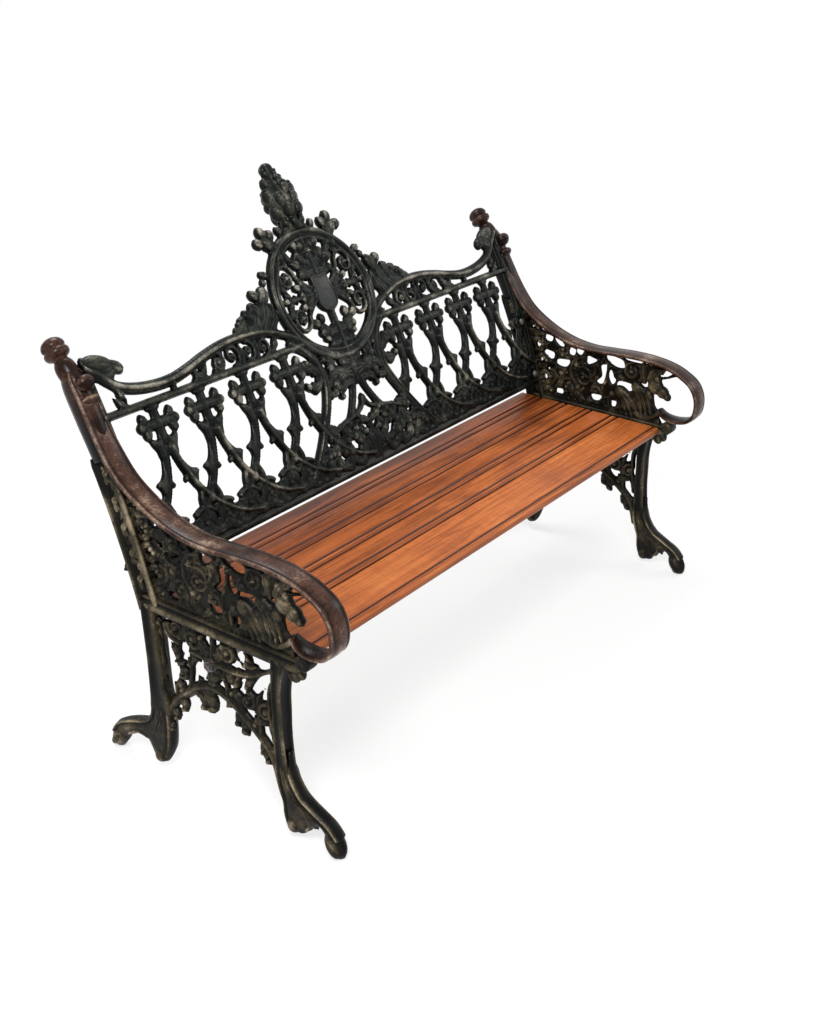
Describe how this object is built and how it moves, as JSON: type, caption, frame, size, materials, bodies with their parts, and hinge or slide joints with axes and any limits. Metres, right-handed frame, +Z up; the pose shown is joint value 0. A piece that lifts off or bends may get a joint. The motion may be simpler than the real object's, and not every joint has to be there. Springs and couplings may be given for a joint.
{
  "type": "cast iron garden bench",
  "caption": "Garden bench with pierced cast iron ends, a curved traceried cast iron back with an oval medallion, and a seat of varnished wooden boards.",
  "frame": {"origin": "on the ground, under the middle of the bench's bounding box", "axes": "+X along the seat towards the sitter's left end, +Y from the front edge to the back, +Z up"},
  "size_m": [1.556, 0.8612, 1.1259],
  "materials": {
    "casting": "worn dark green-black paint over cast iron",
    "board": "orange-brown varnish",
    "fixing": "dull weathered steel"
  },
  "bodies": {
    "root": {"left_end_frame": "casting", "right_end_frame": "casting", "back_panel": "casting", "crest_finial": "casting", "left_stile_knob": "casting", "right_stile_knob": "casting", "seat_slat_1": "board", "seat_slat_2": "board", "seat_slat_3": "board", "seat_slat_4": "board", "seat_slat_5": "board", "centre_strap": "fixing", "tie_rod": "fixing", "tie_rod_nuts": "fixing", "tie_rod_washers": "fixing", "slat_screws": "fixing", "strap_screws": "fixing", "back_bolts": "fixing", "back_washers": "fixing", "back_nuts": "fixing"}
  },
  "joints": []
}
